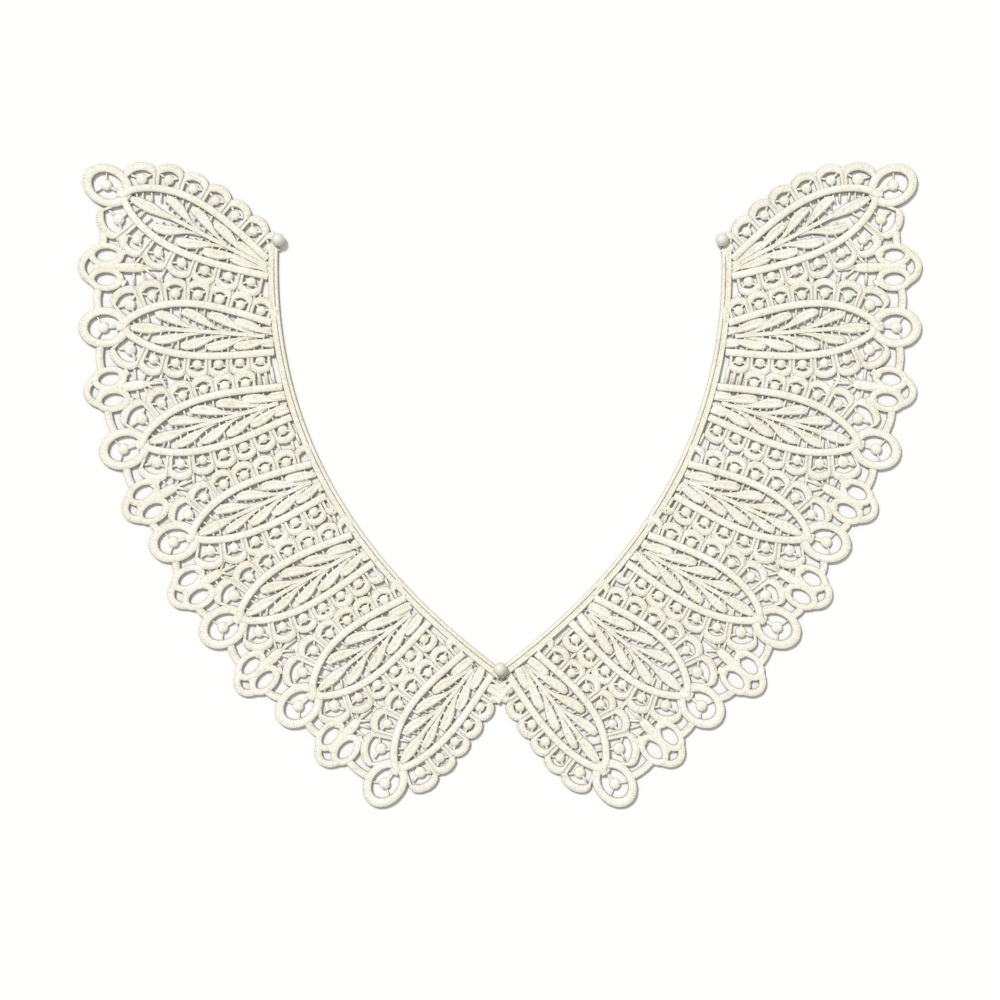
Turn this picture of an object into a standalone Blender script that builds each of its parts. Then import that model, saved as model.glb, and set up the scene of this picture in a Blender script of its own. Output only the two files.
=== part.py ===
"""A lace collar laid flat, in metres, with +Z up.

Two mirrored halves of corded lace rest on the plane Z = 0 round an open neck.
The back of the neck is at +Y and the front point at -Y. Each half is a wall
with a scalloped outline, open between its leaves and inside its rings. Seven
satin cords lie on it, one round each leaf, and each loops into a ring at the
leaf's tip. A folded tape binds the neck edge, crossed bars join the halves in
front, and pearls sit on the tape's ends.

Outlines are worked out in millimetres for the half on the -X side, and then
mirrored and turned into metres.
"""

from collections import namedtuple

import bmesh
import bpy
import numpy as np
from mathutils.geometry import delaunay_2d_cdt

MM = 0.001
SEAM = 0.3

# The neck edge of one half: a Bezier curve from the back end to the front point.
BACK_END = (-88.6, 95.2)
BACK_HEADING = -92.0
BACK_HANDLE = 73.1
FRONT_POINT = (0.0, -73.0)
FRONT_HEADING = -36.8
FRONT_HANDLE = 70.6

# Heights above the surface that the collar lies on.
WALL_THICKNESS = 1.2
CORD_BASE = WALL_THICKNESS + SEAM
CORD_TOP = 2.5
TAPE_THICKNESS = 2.0

TAPE_WIDTH = 4.0
TAPE_STATIONS = 22
HEM_WIDTH = 9.0
CORD_WIDTH = 3.6
PEARL_RADIUS = 2.7

# A leaf's side bulges by a power of a half sine, blunter at the tip than at the foot.
TIP_BLUNTNESS = 0.7
CORD_STEPS = 8

# Arches stand along a leaf's sides, measured out from the middle of its cord.
ARCH_START = 2.4
ARCH_WIDTH = 3.6
RISE_POWER = 2.6
VALLEY_DEPTH = 1.8
ARCH_SHAPE = ((0.0, 1.0), (0.3, 0.1), (0.7, 0.1))

# A ring at a leaf's tip: its middle is this far beyond the knot where the cords cross.
RING_REACH = 7.2
RING_OUTER = (10.4, 8.0)
RING_HOLE = (6.1, 5.0)

# Between two rings: a pair of oval eyelets, a loop outside them and a bud inside.
EYELET_OUTER = (7.4, 5.0)
EYELET_HOLE = (4.2, 2.4)
LOOP_REACH = 6.4
LOOP_OUTER = (5.2, 5.6)
LOOP_HOLE = (1.5, 1.9)
BUD_HALF_WIDTH = 1.9
LINK_HALF_WIDTH = 1.9
LINK_SHIFT = 2.6

# The crossed bars below the front point.
BAR_LENGTH = 8.0
BAR_WIDTH = 2.6
BAR_SLANT = 45.0
BARS_BELOW_POINT = 9.2

Arches = namedtuple("Arches", "count first end hole rise")
# Arches along one side of a leaf, in lengths along its cord from the knot: where the first one
# ends and where the last one does. Hole: its height at the tape. Rise: what it gains at the tip.
Leaf = namedtuple(
    "Leaf", "station lean reach foot back_bulge front_bulge ring_turn back_arches front_arches"
)
# From the back to the front. Station: distance along the neck edge. Lean: degrees towards
# the back from square to the neck edge. Reach: neck edge to knot. Foot: half width at the tape.
LEAVES = (
    Leaf(10.8, 28.4, 69.6, 2.8, 9.9, 9.0, 0.0,
         Arches(7, 13.2, 69.8, 7.1, 0.0), Arches(7, 12.5, 68.8, 6.2, 6.0)),
    Leaf(36.6, 12.9, 64.4, 5.7, 8.9, 7.0, 7.0,
         Arches(7, 11.3, 62.0, 5.7, 4.4), Arches(7, 12.6, 62.3, 5.2, 5.8)),
    Leaf(61.3, 0.4, 64.4, 6.3, 8.0, 6.8, 0.0,
         Arches(6, 12.2, 53.4, 4.8, 7.6), Arches(7, 11.9, 61.8, 5.6, 4.8)),
    Leaf(94.4, 3.2, 59.6, 7.0, 7.4, 5.3, -9.0,
         Arches(6, 11.0, 53.5, 5.2, 5.8), Arches(6, 12.1, 54.5, 5.6, 4.0)),
    Leaf(126.9, 8.1, 60.5, 6.9, 7.3, 6.1, 0.0,
         Arches(6, 11.2, 54.3, 5.1, 6.0), Arches(6, 12.4, 54.3, 5.3, 5.2)),
    Leaf(159.0, 6.6, 57.3, 6.8, 8.3, 6.9, 0.0,
         Arches(6, 12.0, 53.0, 5.2, 6.0), Arches(6, 12.7, 55.0, 5.3, 4.6)),
    Leaf(190.4, -0.5, 57.0, 7.1, 8.0, 5.1, 0.0,
         Arches(6, 12.7, 53.2, 5.8, 6.2), Arches(6, 12.6, 54.0, 5.3, 5.6)),
)

Cluster = namedtuple("Cluster", "slide out spread bud")
# One between each two neighbouring rings. Slide: towards the front from midway. Out: outwards
# from midway. Spread: from the middle to each eyelet's. Bud: from the middle to the bud's tip.
CLUSTERS = (
    Cluster(4.2, -0.2, 4.8, 16.0),
    Cluster(0.3, 1.3, 4.3, 14.8),
    Cluster(2.0, 1.6, 4.2, 13.4),
    Cluster(0.0, 2.4, 4.2, 13.1),
    Cluster(0.9, 2.8, 4.0, 13.5),
    Cluster(-1.6, 0.6, 4.2, 12.5),
)

# Finishes: colour (linear), roughness.
LACE_IVORY = (0.88, 0.86, 0.75), 0.85
SATIN_IVORY = (0.92, 0.90, 0.80), 0.6
TAPE_IVORY = (0.90, 0.88, 0.78), 0.7
PEARL_WHITE = (0.86, 0.85, 0.82), 0.15


def unit(vector):
    return vector / np.linalg.norm(vector, axis=-1, keepdims=True)


def turned(vector, degrees):
    """The vector turned counterclockwise."""
    angle = np.radians(degrees)
    return vector @ np.array([[np.cos(angle), np.sin(angle)], [-np.sin(angle), np.cos(angle)]])


def running_length(points):
    return np.concatenate([[0.0], np.cumsum(np.linalg.norm(np.diff(points, axis=0), axis=1))])


def at_length(lengths, values, wanted):
    """Rows of values read at the wanted running lengths."""
    return np.stack([np.interp(wanted, lengths, column) for column in values.T], axis=-1)


def neck_samples(count=400):
    """Points of the neck edge, their running length and the way out from the neck."""
    start, end = np.array(BACK_END), np.array(FRONT_POINT)
    east = np.array([1.0, 0.0])
    first_handle = start + BACK_HANDLE * turned(east, BACK_HEADING)
    last_handle = end - FRONT_HANDLE * turned(east, FRONT_HEADING)
    t = np.linspace(0.0, 1.0, count)[:, None]
    points = (
        (1 - t) ** 3 * start
        + 3 * (1 - t) ** 2 * t * first_handle
        + 3 * (1 - t) * t**2 * last_handle
        + t**3 * end
    )
    outward = turned(unit(np.gradient(points, axis=0)), -90.0)
    return points, running_length(points), outward


NECK, NECK_LENGTHS, NECK_OUTWARD = neck_samples()
NECK_LENGTH = NECK_LENGTHS[-1]


def neck_at(stations, offset=0.0):
    """Points that far out from the neck edge, at stations along it."""
    outward = unit(at_length(NECK_LENGTHS, NECK_OUTWARD, stations))
    return at_length(NECK_LENGTHS, NECK, stations) + offset * outward


def neck_line(offset, stations=TAPE_STATIONS):
    """A line along the neck edge, offset outwards and run on straight to the front seam."""
    line = neck_at(np.linspace(0.0, NECK_LENGTH, stations), offset)
    line = line[line[:, 0] < -SEAM]
    heading = turned(np.array([1.0, 0.0]), FRONT_HEADING)
    to_seam = (-SEAM / 2 - line[-1, 0]) / heading[0]
    return np.vstack([line, line[-1] + heading * to_seam])


def leaf_axes(leaf):
    """A leaf's knot, the way from it to the neck, and the way across towards the back."""
    outward = unit(at_length(NECK_LENGTHS, NECK_OUTWARD, leaf.station))
    out = turned(outward, -leaf.lean)
    knot = neck_at(leaf.station) + leaf.reach * out
    return knot, -out, turned(out, -90.0)


def leaf_side(leaf, back, samples=120):
    """The middle of the cord on one side of a leaf, from its knot to the tape, with the way out."""
    knot, inward, across = leaf_axes(leaf)
    bulge = leaf.back_bulge if back else leaf.front_bulge
    share = np.linspace(0.0, 1.0, samples) ** 1.5
    half_width = leaf.foot * share + bulge * np.sin(np.pi * share**TIP_BLUNTNESS)
    flip = 1.0 if back else -1.0
    length = (leaf.reach - TAPE_WIDTH) * share
    points = knot + length[:, None] * inward + flip * half_width[:, None] * across
    outward = turned(unit(np.gradient(points, axis=0)), 90.0 * flip)
    return points, running_length(points), outward


def beside(side, lengths, height):
    """Points beside a leaf's cord, at lengths along it and heights out from its middle."""
    points, running, outward = side
    normals = unit(at_length(running, outward, lengths))
    return at_length(running, points, lengths) + np.reshape(height, (-1, 1)) * normals


def scallops(leaf, back):
    """The outer edge of the arches on one side of a leaf, from its knot to the tape."""
    side = leaf_side(leaf, back)
    total = side[1][-1]
    arches = leaf.back_arches if back else leaf.front_arches
    feet = np.append(ARCH_START, np.linspace(arches.first, arches.end, arches.count))
    shape = np.array(ARCH_SHAPE)
    lengths = (feet[:-1, None] + np.diff(feet)[:, None] * shape[:, 0]).ravel()
    dips = np.tile(shape[:, 1] * VALLEY_DEPTH, arches.count)
    lengths = np.append(lengths, total)
    dips = np.append(dips, VALLEY_DEPTH)
    height = arches.hole + arches.rise * (1 - lengths / total) ** RISE_POWER + ARCH_WIDTH
    return beside(side, lengths, height - dips)


def ellipse(middle, along, half_sizes, steps=12):
    """An oval outline; half_sizes are along the given direction and across it."""
    angle = np.linspace(0.0, 2 * np.pi, steps, endpoint=False)[:, None]
    across = turned(along, 90.0)
    return middle + half_sizes[0] * np.cos(angle) * along + half_sizes[1] * np.sin(angle) * across


def strip(start, end, half_width, cap_steps=4):
    """A straight strip with a round end, from start to end."""
    along = unit(end - start)
    across = turned(along, 90.0)
    angle = np.linspace(-np.pi / 2, np.pi / 2, cap_steps + 1)[:, None]
    cap = end + half_width * (np.cos(angle) * along + np.sin(angle) * across)
    return np.vstack([cap, start + half_width * across, start - half_width * across])


def ring_axes(leaf):
    """The middle of the ring at a leaf's tip, and the way outwards along it."""
    knot, inward, _ = leaf_axes(leaf)
    out = turned(-inward, leaf.ring_turn)
    return knot + RING_REACH * out, out


def leaf_panel(leaf):
    """The outline of a leaf with its arches, from under the tape out to its ring."""
    return np.vstack([scallops(leaf, back=True)[::-1], scallops(leaf, back=False)])


def cluster_outlines(cluster, leaf, next_leaf):
    """The outlines of what fills the edge between two rings, and of the holes in it."""
    ring, _ = ring_axes(leaf)
    next_ring, _ = ring_axes(next_leaf)
    front = unit(next_ring - ring)
    out = turned(front, -90.0)
    middle = (ring + next_ring) / 2 + cluster.slide * front + cluster.out * out
    eyelets = [middle - cluster.spread * front, middle + cluster.spread * front]
    cloth = [ellipse(eyelet, out, EYELET_OUTER) for eyelet in eyelets]
    holes = [ellipse(eyelet, out, EYELET_HOLE, 10) for eyelet in eyelets]
    loop = middle + LOOP_REACH * out
    cloth.append(ellipse(loop, out, LOOP_OUTER))
    holes.append(ellipse(loop, out, LOOP_HOLE, 6))
    bud_end = cluster.bud - BUD_HALF_WIDTH
    cloth.append(strip(middle, middle - bud_end * out, BUD_HALF_WIDTH))
    for eyelet, neighbour in zip(eyelets, (ring, next_ring)):
        cloth.append(strip(eyelet + LINK_SHIFT * out, neighbour + LINK_SHIFT * out, LINK_HALF_WIDTH))
    return cloth, holes


def lace_outlines():
    """The outlines of one half's cloth, and of all that is cut out of it."""
    inner, outer = neck_line(TAPE_WIDTH + SEAM), neck_line(TAPE_WIDTH + SEAM + HEM_WIDTH)
    cloth = [np.vstack([inner, outer[::-1]])]
    holes = []
    for leaf in LEAVES:
        ring, out = ring_axes(leaf)
        cloth += [leaf_panel(leaf), ellipse(ring, out, RING_OUTER, 16)]
        holes.append(ellipse(ring, out, RING_HOLE))
    for cluster, leaf, next_leaf in zip(CLUSTERS, LEAVES, LEAVES[1:]):
        more_cloth, more_holes = cluster_outlines(cluster, leaf, next_leaf)
        cloth += more_cloth
        holes += more_holes
    # The neck opening and the tape on its edge, then the other half beyond the front seam.
    above = (BACK_END[0] - TAPE_WIDTH - SEAM, BACK_END[1] + 4 * TAPE_WIDTH)
    beyond = (TAPE_WIDTH, BACK_END[1] + 4 * TAPE_WIDTH)
    holes.append(np.vstack([inner, (TAPE_WIDTH, inner[-1, 1]), beyond, above]))
    seam = -SEAM / 2
    far = 4 * TAPE_WIDTH
    low = FRONT_POINT[1] - 6 * TAPE_WIDTH
    high = FRONT_POINT[1] + TAPE_WIDTH
    holes.append(np.array([(seam, low), (far, low), (far, high), (seam, high)]))
    return cloth, holes


def beyond_tape(points):
    """Which points are clear of the tape, on its outer side."""
    nearest = np.argmin(np.linalg.norm(points[:, None] - NECK, axis=2), axis=1)
    distance = np.sum((points - NECK[nearest]) * NECK_OUTWARD[nearest], axis=1)
    return distance > TAPE_WIDTH + SEAM


def cord_leg(leaf, back):
    """The outer and inner edges of the cord on one side of a leaf, from its knot to the tape."""
    side = leaf_side(leaf, back)
    lengths = np.linspace(CORD_WIDTH, side[1][-1], 80)
    edges = [beside(side, lengths, height) for height in (CORD_WIDTH / 2, -CORD_WIDTH / 2)]
    clear = beyond_tape(edges[0]) & beyond_tape(edges[1])
    steps = np.linspace(0, np.flatnonzero(clear)[-1], CORD_STEPS).round().astype(int)
    return edges[0][steps], edges[1][steps]


def cord_outlines(leaf):
    """The outline of a leaf's cord with the ring at its tip, and of the hole in the ring."""
    ring, out = ring_axes(leaf)
    back_outer, back_inner = cord_leg(leaf, back=True)
    front_outer, front_inner = cord_leg(leaf, back=False)
    # The ring's outer edge from the front side to the back, without what the legs cover.
    edge = ellipse(ring, out, RING_OUTER, 16)
    knot, _, _ = leaf_axes(leaf)
    edge = edge[np.linalg.norm(edge - knot, axis=1) > 1.7 * CORD_WIDTH]
    angle = np.arctan2((edge - ring) @ turned(out, 90.0), (edge - ring) @ out)
    edge = edge[np.argsort(-angle)]
    outline = np.vstack([front_outer[::-1], edge, back_outer, back_inner[::-1], front_inner])
    return [outline, ellipse(ring, out, RING_HOLE)]


def tape_outline():
    return [np.vstack([neck_line(0.0), neck_line(TAPE_WIDTH)[::-1]])]


def counterclockwise(outline):
    x, y = outline.T
    area = np.sum(x * np.roll(y, -1) - y * np.roll(x, -1)) / 2
    return outline if area > 0 else outline[::-1]


def mirrored(outline, side):
    """The outline in metres, for the half on the given side of X = 0: -1 or 1."""
    return np.asarray(outline) * (-side * MM, MM)


def new_collection(name):
    collection = bpy.data.collections.new(name)
    bpy.context.scene.collection.children.link(collection)
    return collection


def new_material(name, finish):
    colour, roughness = finish
    material = bpy.data.materials.new(name)
    material.use_nodes = True
    shader = material.node_tree.nodes["Principled BSDF"]
    shader.inputs["Base Color"].default_value = (*colour, 1.0)
    shader.inputs["Roughness"].default_value = roughness
    shader.inputs["Metallic"].default_value = 0.0
    return material


def place(name, data, collection, material):
    piece = bpy.data.objects.new(name, data)
    data.materials.append(material)
    collection.objects.link(piece)
    return piece


def flat_piece(name, outlines, base, top, collection, material):
    """A plate between two heights: the first outline, with the others as holes in it."""
    curve = bpy.data.curves.new(name, "CURVE")
    curve.dimensions = "2D"
    curve.fill_mode = "BOTH"
    curve.extrude = (top - base) / 2 * MM
    holes = [counterclockwise(outline)[::-1] for outline in outlines[1:]]
    for outline in [counterclockwise(outlines[0]), *holes]:
        spline = curve.splines.new("POLY")
        spline.points.add(len(outline) - 1)
        rows = np.column_stack([outline, np.zeros(len(outline)), np.ones(len(outline))])
        spline.points.foreach_set("co", rows.ravel())
        spline.use_cyclic_u = True
    piece = place(name, curve, collection, material)
    piece.location.z = (base + top) / 2 * MM
    return piece


def lace_wall(name, side, collection, material):
    """One half's cloth: its outlines joined and cut in the plane, then given their thickness."""
    cloth, holes = lace_outlines()
    outlines = [counterclockwise(outline * (-side, 1.0)) for outline in cloth + holes]
    ends = np.cumsum([len(outline) for outline in outlines])
    starts = ends - [len(outline) for outline in outlines]
    loops = [list(range(start, end)) for start, end in zip(starts, ends)]
    points = [tuple(point) for point in np.vstack(outlines)]
    corners, _, faces, _, _, origins = delaunay_2d_cdt(points, [], loops, 1, 1e-4)
    sheet = bmesh.new()
    verts = [sheet.verts.new((x * MM, y * MM, 0.0)) for x, y in corners]
    for face, origin in zip(faces, origins):
        if origin and max(origin) < len(cloth):
            sheet.faces.new([verts[corner] for corner in face])
    loose = [vert for vert in sheet.verts if not vert.link_faces]
    bmesh.ops.delete(sheet, geom=loose, context="VERTS")
    bmesh.ops.dissolve_limit(
        sheet, angle_limit=np.radians(0.5), verts=sheet.verts[:], edges=sheet.edges[:]
    )
    bmesh.ops.triangulate(sheet, faces=sheet.faces[:])
    for face in sheet.faces:
        if face.normal.z < 0:
            face.normal_flip()
    mesh = bpy.data.meshes.new(name)
    sheet.to_mesh(mesh)
    sheet.free()
    wall = place(name, mesh, collection, material)
    thicken = wall.modifiers.new("Thickness", "SOLIDIFY")
    thicken.thickness = WALL_THICKNESS * MM
    thicken.offset = 1.0
    return wall


def pearl(name, middle, collection, material):
    sphere = bmesh.new()
    bmesh.ops.create_uvsphere(sphere, u_segments=16, v_segments=10, radius=PEARL_RADIUS * MM)
    mesh = bpy.data.meshes.new(name)
    sphere.to_mesh(mesh)
    sphere.free()
    mesh.shade_smooth()
    piece = place(name, mesh, collection, material)
    piece.location = [coordinate * MM for coordinate in middle]
    return piece


def crossed_bars():
    """The outline of two short bars that cross on the front seam: a cross with eight corners."""
    middle = np.array([0.0, FRONT_POINT[1] - BARS_BELOW_POINT])
    east = np.array([1.0, 0.0])
    corners = []
    for slant in (BAR_SLANT, 180.0 - BAR_SLANT, 180.0 + BAR_SLANT, -BAR_SLANT):
        along = turned(east, slant)
        across = turned(along, 90.0)
        end = middle + BAR_LENGTH / 2 * along
        corners += [end - BAR_WIDTH / 2 * across, end + BAR_WIDTH / 2 * across]
        # The notch between this bar's end and the next one's.
        turn = (180.0 - 2 * BAR_SLANT) if slant in (BAR_SLANT, 180.0 + BAR_SLANT) else 2 * BAR_SLANT
        notch = BAR_WIDTH / 2 / np.sin(np.radians(turn / 2))
        corners.append(middle + notch * turned(along, turn / 2))
    return [np.array(corners)]


def build_collar():
    collar = new_collection("lace_collar")
    lace = new_material("lace", LACE_IVORY)
    satin = new_material("satin_cord", SATIN_IVORY)
    tape = new_material("neck_tape", TAPE_IVORY)
    nacre = new_material("pearl", PEARL_WHITE)
    for side, word in ((-1, "left"), (1, "right")):
        lace_wall(f"lace_{word}", side, collar, lace)
        for number, leaf in enumerate(LEAVES, start=1):
            outlines = [mirrored(outline, side) for outline in cord_outlines(leaf)]
            name = f"leaf_cord_{word}_{number}"
            flat_piece(name, outlines, CORD_BASE, CORD_TOP, collar, satin)
        outlines = [mirrored(outline, side) for outline in tape_outline()]
        flat_piece(f"neck_tape_{word}", outlines, 0.0, TAPE_THICKNESS, collar, tape)
        at_end = BACK_END[1] + SEAM + PEARL_RADIUS
        pearl(f"pearl_{word}", (-side * BACK_END[0], at_end, PEARL_RADIUS), collar, nacre)
    bars = [outline * MM for outline in crossed_bars()]
    flat_piece("front_bars", bars, CORD_BASE, CORD_TOP, collar, satin)
    on_tape = TAPE_THICKNESS + SEAM + PEARL_RADIUS
    pearl("pearl_front", (0.0, FRONT_POINT[1], on_tape), collar, nacre)


for old in list(bpy.data.objects):
    bpy.data.objects.remove(old)
build_collar()
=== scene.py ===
"""The looks of a corded lace collar with pearls, laid flat on a pale table.

Every class works out one kind of stitchwork for the half on the -X side, in
millimetres, as sweeps and domes on grids. Stitchwork.make turns it into a mesh
in metres and mirrors it for the other half.
"""

from __future__ import annotations

import logging
from collections.abc import Sequence
from dataclasses import dataclass, field
from enum import Enum

import bpy
import numpy as np
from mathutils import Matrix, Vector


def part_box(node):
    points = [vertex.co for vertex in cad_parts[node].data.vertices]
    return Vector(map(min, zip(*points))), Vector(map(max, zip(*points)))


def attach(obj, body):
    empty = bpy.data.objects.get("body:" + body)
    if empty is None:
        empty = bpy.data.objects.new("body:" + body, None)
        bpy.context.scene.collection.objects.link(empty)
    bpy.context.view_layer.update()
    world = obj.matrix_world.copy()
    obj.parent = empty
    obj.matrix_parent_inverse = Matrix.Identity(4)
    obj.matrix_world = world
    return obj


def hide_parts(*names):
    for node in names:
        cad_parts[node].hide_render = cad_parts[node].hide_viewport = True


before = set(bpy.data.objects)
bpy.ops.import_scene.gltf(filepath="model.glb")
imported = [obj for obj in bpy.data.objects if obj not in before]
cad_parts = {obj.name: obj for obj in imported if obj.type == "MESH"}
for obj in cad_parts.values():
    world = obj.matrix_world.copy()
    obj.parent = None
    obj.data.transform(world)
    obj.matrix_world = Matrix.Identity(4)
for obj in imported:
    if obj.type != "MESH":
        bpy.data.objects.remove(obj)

LOG = logging.getLogger("lace_collar")
MM = 0.001
BODY = "root"
EAST = np.array([1.0, 0.0])

# The share across a cord, as its UVs hold it: from 0 to 1 where a row of needle marks
# runs along it, moved on by a whole number where none does, and in the middle of a
# share, where the painted edge shade darkens nothing, on bars and dots.
PLAIN_SHIFT = 3.0
UNSHADED = 5.5

# How far out from the neck edge, in millimetres, the tape covers the ends of cords.
TAPE_COVER = 3.7


class Half(Enum):
    """The two mirrored halves of the collar, by the sign of X."""

    LEFT = -1
    RIGHT = 1

    @property
    def word(self) -> str:
        """The half's name as the nodes spell it."""
        return self.name.lower()


class Flank(Enum):
    """The two sides of a leaf."""

    BACK = 1
    FRONT = -1


# ---------------------------------------------------------------- plane geometry


def unit(vector: np.ndarray) -> np.ndarray:
    """The vector, or each row, divided by its length."""
    return vector / np.linalg.norm(vector, axis=-1, keepdims=True)


def turned(vector: np.ndarray, degrees: float) -> np.ndarray:
    """Turns plane vectors counterclockwise, with a rotation matrix.

    Args:
        vector: a vector, or rows of them.
        degrees: the angle.

    Returns:
        The same, turned.
    """
    angle = np.radians(degrees)
    matrix = np.array([[np.cos(angle), np.sin(angle)], [-np.sin(angle), np.cos(angle)]])
    return vector @ matrix


def running_length(points: np.ndarray) -> np.ndarray:
    """The length along a line of points.

    Args:
        points: the line's points.

    Returns:
        The length from the first point to each of them.
    """
    steps = np.linalg.norm(np.diff(points, axis=0), axis=1)
    return np.concatenate([[0.0], np.cumsum(steps)])


def at_length(lengths: np.ndarray, rows: np.ndarray, wanted: np.ndarray | float) -> np.ndarray:
    """Rows read at the wanted running lengths, straight between neighbours."""
    return np.stack([np.interp(wanted, lengths, column) for column in rows.T], axis=-1)


def spread_out(points: np.ndarray, values: list[float]) -> np.ndarray:
    """Values spaced evenly along a line, read at each of its points."""
    lengths = running_length(points)
    return np.interp(lengths / lengths[-1], np.linspace(0.0, 1.0, len(values)), values)


def oval(middle: np.ndarray, along: np.ndarray, half_sizes: tuple[float, float],
         steps: int) -> np.ndarray:
    """An oval: the cosine times one half size along it, the sine times the other across.

    Args:
        middle: its middle.
        along: the way that the first half size is laid.
        half_sizes: half its length and half its width.
        steps: how many points go round.

    Returns:
        The points, counterclockwise.
    """
    angle = np.linspace(0.0, 2 * np.pi, steps, endpoint=False)[:, None]
    across = turned(along, 90.0)
    return middle + half_sizes[0] * np.cos(angle) * along + half_sizes[1] * np.sin(angle) * across


def bend(points: Sequence[Sequence[float]], steps: int = 24) -> np.ndarray:
    """A smooth line through given points.

    Args:
        points: the points that the line passes.
        steps: points on each stretch.

    Returns:
        Rows of a Catmull-Rom curve: each stretch is the cubic whose slope at a
        point is half the way between that point's two neighbours.
    """
    knots = np.array(points)
    padded = np.vstack([2 * knots[0] - knots[1], knots, 2 * knots[-1] - knots[-2]])
    t = np.linspace(0.0, 1.0, steps, endpoint=False)[:, None]
    before, start, end, after = (padded[i : i + len(knots) - 1, None] for i in range(4))
    curve = 0.5 * (
        2 * start
        + (end - before) * t
        + (2 * before - 5 * start + 4 * end - after) * t**2
        + (3 * start - before - 3 * end + after) * t**3
    )
    return np.vstack([curve.reshape(-1, 2), knots[-1]])


# ---------------------------------------------------------------- stitchwork


@dataclass
class Stitchwork:
    """Surfaces gathered for one piece, in millimetres, before they become a mesh."""

    points: list[np.ndarray] = field(default_factory=list)
    faces: list[np.ndarray] = field(default_factory=list)
    corners: list[np.ndarray] = field(default_factory=list)
    count: int = 0

    def add(self, points: np.ndarray, groups: list[tuple[np.ndarray, np.ndarray]]) -> None:
        """Takes in one surface.

        Args:
            points: rows of x, y, z.
            groups: for each size of face, the rows of point numbers and their UVs.
        """
        for faces, uvs in groups:
            self.faces.append(faces + self.count)
            self.corners.append(uvs.reshape(-1, 2))
        self.points.append(points)
        self.count += len(points)

    def make(self, name: str, half: Half, finish: "Finish", slot: str) -> bpy.types.Object:
        """Makes the piece: mirrored for the right half, in metres, shaded smooth.

        Args:
            name: the object's name.
            half: the half of the collar that it belongs to.
            finish: what it is dressed in.
            slot: not used.

        Returns:
            The object, riding on the collar's body.
        """
        points = np.vstack(self.points) * MM
        points[:, 0] *= -half.value
        flip = half is Half.RIGHT
        loops = [(rows[:, ::-1] if flip else rows).ravel() for rows in self.faces]
        uvs = [
            corner.reshape(*rows.shape, 2)[:, ::-1].reshape(-1, 2) if flip else corner
            for rows, corner in zip(self.faces, self.corners)
        ]
        totals = np.concatenate([np.full(len(rows), rows.shape[1]) for rows in self.faces])
        loops = np.concatenate(loops)
        mesh = bpy.data.meshes.new(name)
        mesh.vertices.add(len(points))
        mesh.vertices.foreach_set("co", points.ravel())
        mesh.loops.add(len(loops))
        mesh.loops.foreach_set("vertex_index", loops.astype(np.int32))
        mesh.polygons.add(len(totals))
        starts = np.concatenate([[0], np.cumsum(totals)[:-1]])
        mesh.polygons.foreach_set("loop_start", starts.astype(np.int32))
        mesh.polygons.foreach_set("loop_total", totals.astype(np.int32))
        layer = mesh.uv_layers.new(name="thread")
        mesh.update(calc_edges=True)
        layer.data.foreach_set("uv", np.vstack(uvs).astype(np.float32).ravel())
        mesh.validate()
        mesh.shade_smooth()
        mesh.materials.append(finish.material())
        piece = bpy.data.objects.new(name, mesh)
        bpy.context.scene.collection.objects.link(piece)
        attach(piece, BODY)
        return piece


def grid_faces(rows: int, columns: int, closed: bool = False) -> np.ndarray:
    """Quads of a tube's grid: wrapped across, and along too where it is closed.

    Args:
        rows: how many sections the tube has.
        columns: how many points a section has.
        closed: whether the last section joins the first.

    Returns:
        Rows of four point numbers.
    """
    along = np.arange(rows if closed else rows - 1)[:, None]
    across = np.arange(columns)[None, :]
    after = (along + 1) % rows
    beside = (across + 1) % columns
    return np.stack(
        [
            along * columns + across,
            along * columns + beside,
            after * columns + beside,
            after * columns + across,
        ],
        axis=-1,
    ).reshape(-1, 4)


def end_caps(rows: int, columns: int) -> np.ndarray:
    """The two faces that close an open tube: its first section turned round, and its last."""
    ring = np.arange(columns)
    return np.stack([ring[::-1], ring + (rows - 1) * columns])


def tube_faces(count: int, rows: int, columns: int) -> tuple[np.ndarray, np.ndarray]:
    """Faces of several open tubes whose points follow one another.

    Args:
        count: how many tubes there are.
        rows: how many sections each has.
        columns: how many points a section has.

    Returns:
        The quads of all of them, and the caps of all of them.
    """
    first = (np.arange(count) * rows * columns)[:, None]
    quads = (grid_faces(rows, columns).reshape(1, -1) + first).reshape(-1, 4)
    caps = np.vstack([cap + first for cap in end_caps(rows, columns)])
    return quads, caps


def padded_profile(columns: int, crease: float, roundness: float) -> np.ndarray:
    """The cross-section of padded satin stitch, from its left edge over to its right.

    Across is a cosine raised to the breadth and up is a sine raised to the roundness,
    so the top is broad and the sides are steep. A crease takes a narrow bell off the
    middle.

    Args:
        columns: how many points it has.
        crease: how deep the bell is, as a share of the height.
        roundness: nearer 0 for a flat top with steep sides, and 1 for a round one.

    Returns:
        Rows of the share across, from 1 to -1, and the share up.
    """
    breadth, bell_width = 0.7, 0.2
    angle = np.linspace(0.0, np.pi, columns)
    cosine = np.cos(angle)
    across = np.sign(cosine) * np.abs(cosine) ** breadth
    bell = np.exp(-((across / bell_width) ** 2))
    up = np.maximum(np.sin(angle), 0.0) ** roundness * (1.0 - crease * bell)
    return np.column_stack([across, up])


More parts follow.
